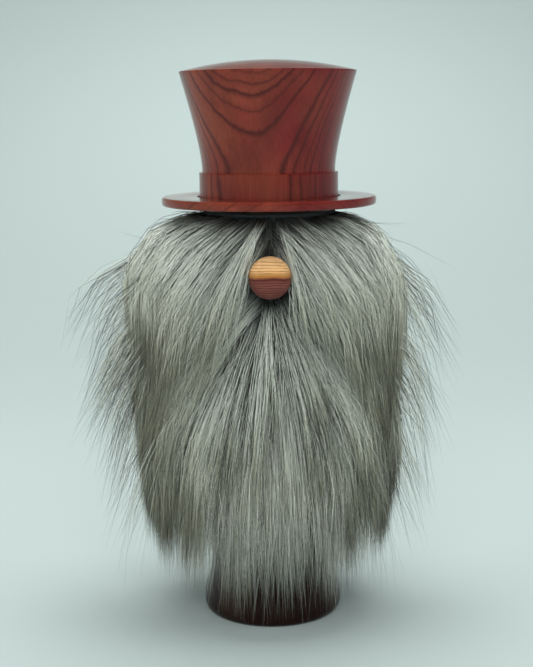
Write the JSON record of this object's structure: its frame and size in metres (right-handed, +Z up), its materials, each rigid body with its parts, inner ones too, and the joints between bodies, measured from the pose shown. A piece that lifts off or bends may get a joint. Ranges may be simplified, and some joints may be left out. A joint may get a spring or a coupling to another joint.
{
  "type": "gnome figurine",
  "caption": "Turned wooden post dressed in two long-pile fur wraps as hair and beard, with a ball nose on a dowel and a turned top hat that lifts off a spigot.",
  "frame": {"origin": "centre of the foot's flat underside, on the post's axis", "axes": "+Z up along the post's axis through the hat, -Y towards the nose, +X to the right when facing the nose"},
  "size_m": [0.18, 0.1386, 0.262],
  "materials": {
    "post_wood": "dark brown hardwood, gloss lacquer",
    "hat_wood": "red-brown cedar heartwood, gloss lacquer",
    "nose_wood": "cedar, half sapwood and half heartwood, satin",
    "dowel_wood": "plain birch",
    "fur_backing": "dark knitted backing",
    "fur_pile": "long grey-white pile with dark roots and tips"
  },
  "bodies": {
    "figure": {"body": "post_wood", "nose": "nose_wood", "nose_dowel": "dowel_wood", "hair_backing": "fur_backing", "beard_backing": "fur_backing", "hair_front_left": "fur_pile", "hair_front_right": "fur_pile", "hair_left": "fur_pile", "hair_right": "fur_pile", "hair_back_left": "fur_pile", "hair_back_right": "fur_pile", "beard_front": "fur_pile", "beard_left": "fur_pile", "beard_right": "fur_pile", "beard_back_left": "fur_pile", "beard_back_right": "fur_pile"},
    "hat": {"hat_brim": "hat_wood", "hat_crown": "hat_wood"}
  },
  "joints": [
    {"name": "hat_lift", "type": "slide", "parent": "figure", "child": "hat", "axis": [0, 0, 1], "range_m": [0, 0.03]}
  ]
}
